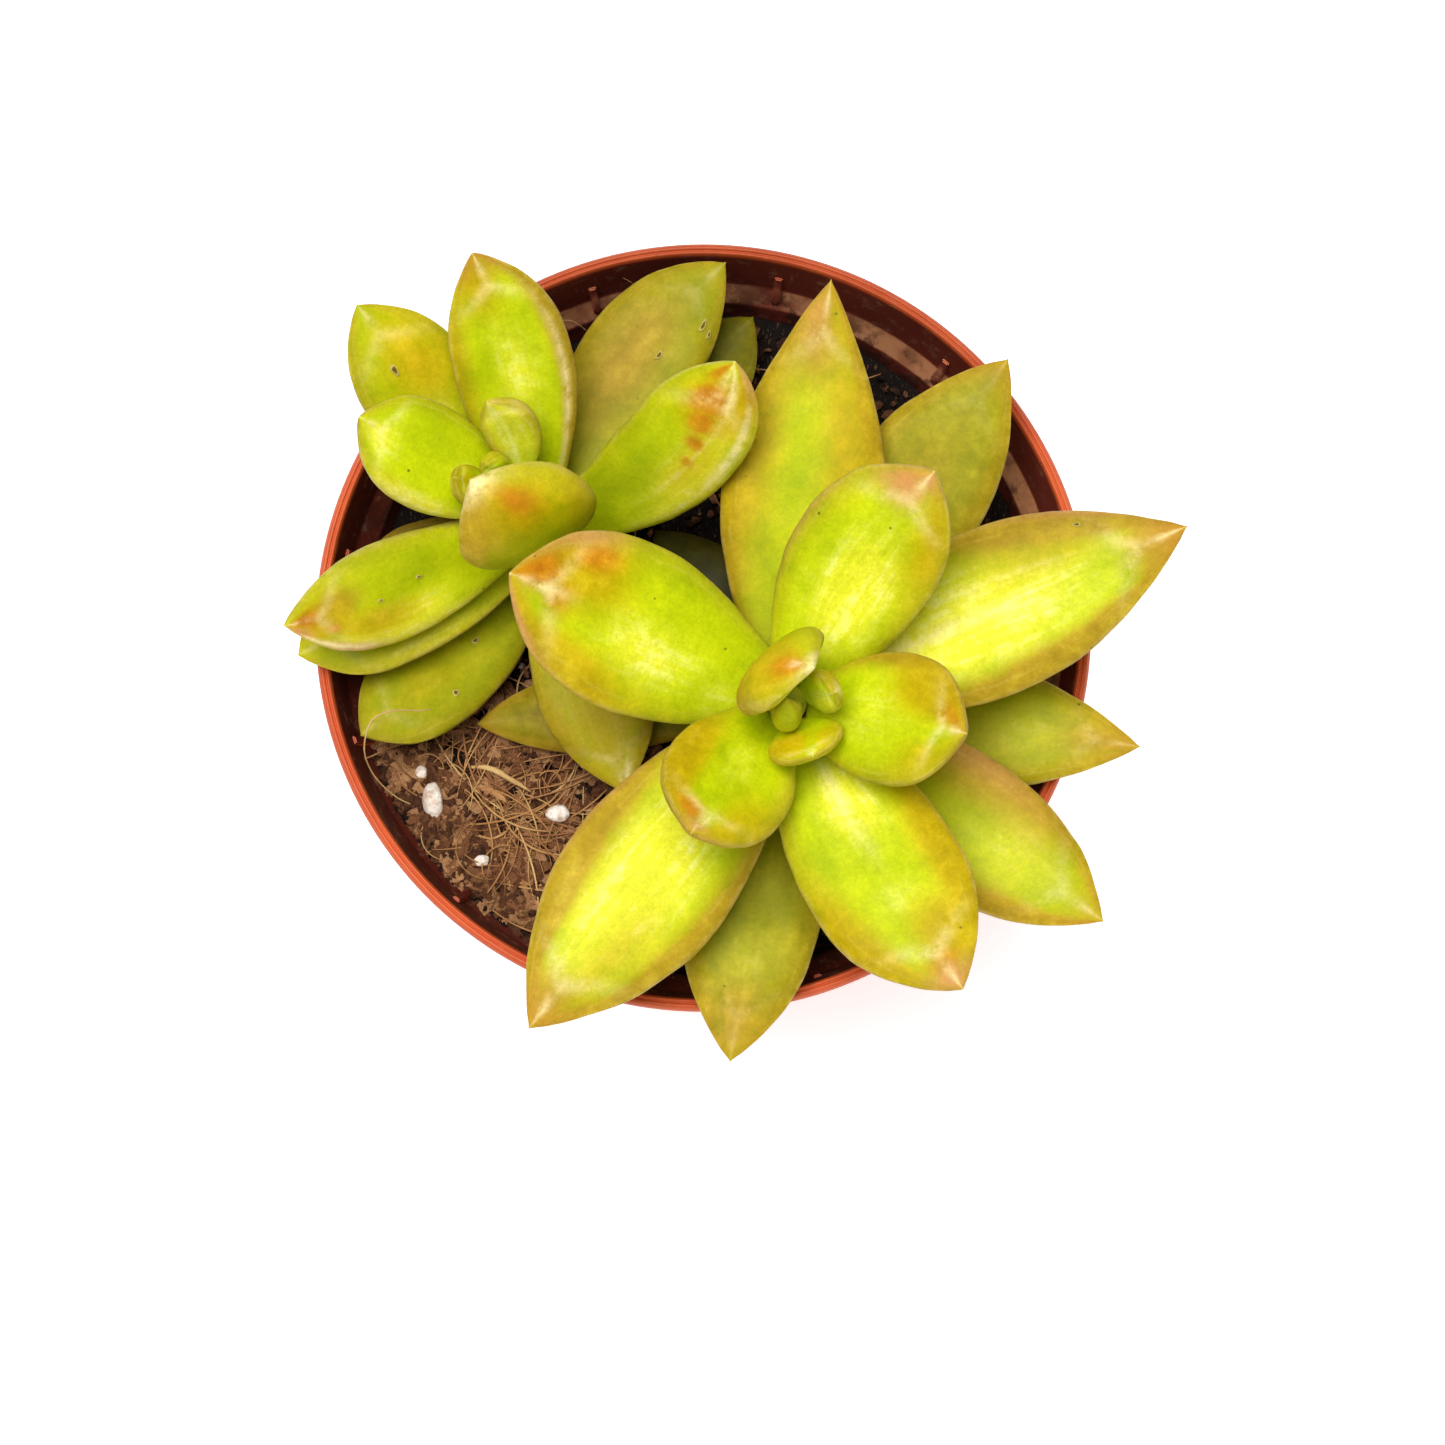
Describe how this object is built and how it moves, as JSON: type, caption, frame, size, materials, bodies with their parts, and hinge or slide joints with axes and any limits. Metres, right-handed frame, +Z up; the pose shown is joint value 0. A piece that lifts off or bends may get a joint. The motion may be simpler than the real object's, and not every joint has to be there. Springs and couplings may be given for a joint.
{
  "type": "potted succulent",
  "caption": "Golden sedum with a large and a small rosette of thick pointed leaves on short stems, rooted in coir mix in a round terracotta-coloured plastic nursery pot.",
  "frame": {"origin": "centre of the pot's flat underside, on the surface it stands on", "axes": "+Z up along the pot's axis, +X towards the big rosette's side of the pot, +Y away from the viewer who looks down on the plant"},
  "size_m": [0.0941, 0.0905, 0.1086],
  "materials": {
    "terracotta_plastic": "satin",
    "coir": "matte",
    "green_stem": "matte",
    "leaf_flesh": "satin",
    "perlite": "matte"
  },
  "bodies": {
    "root": {"nursery_pot": "terracotta_plastic", "coir_mix": "coir", "big_stem": "green_stem", "little_stem": "green_stem", "big_leaf_01": "leaf_flesh", "big_leaf_02": "leaf_flesh", "big_leaf_03": "leaf_flesh", "big_leaf_04": "leaf_flesh", "big_leaf_05": "leaf_flesh", "big_leaf_06": "leaf_flesh", "big_leaf_07": "leaf_flesh", "big_leaf_08": "leaf_flesh", "big_leaf_09": "leaf_flesh", "big_leaf_10": "leaf_flesh", "big_leaf_11": "leaf_flesh", "big_leaf_12": "leaf_flesh", "big_leaf_13": "leaf_flesh", "big_leaf_14": "leaf_flesh", "big_leaf_15": "leaf_flesh", "big_leaf_16": "leaf_flesh", "big_leaf_17": "leaf_flesh", "big_leaf_18": "leaf_flesh", "little_leaf_01": "leaf_flesh", "little_leaf_02": "leaf_flesh", "little_leaf_03": "leaf_flesh", "little_leaf_04": "leaf_flesh", "little_leaf_05": "leaf_flesh", "little_leaf_06": "leaf_flesh", "little_leaf_07": "leaf_flesh", "little_leaf_08": "leaf_flesh", "little_leaf_09": "leaf_flesh", "little_leaf_10": "leaf_flesh", "little_leaf_11": "leaf_flesh", "little_leaf_12": "leaf_flesh", "little_leaf_13": "leaf_flesh", "little_leaf_14": "leaf_flesh", "little_leaf_15": "leaf_flesh", "perlite_grain_1": "perlite", "perlite_grain_2": "perlite", "perlite_grain_3": "perlite", "perlite_grain_4": "perlite", "perlite_grain_5": "perlite", "perlite_grain_6": "perlite"}
  },
  "joints": []
}
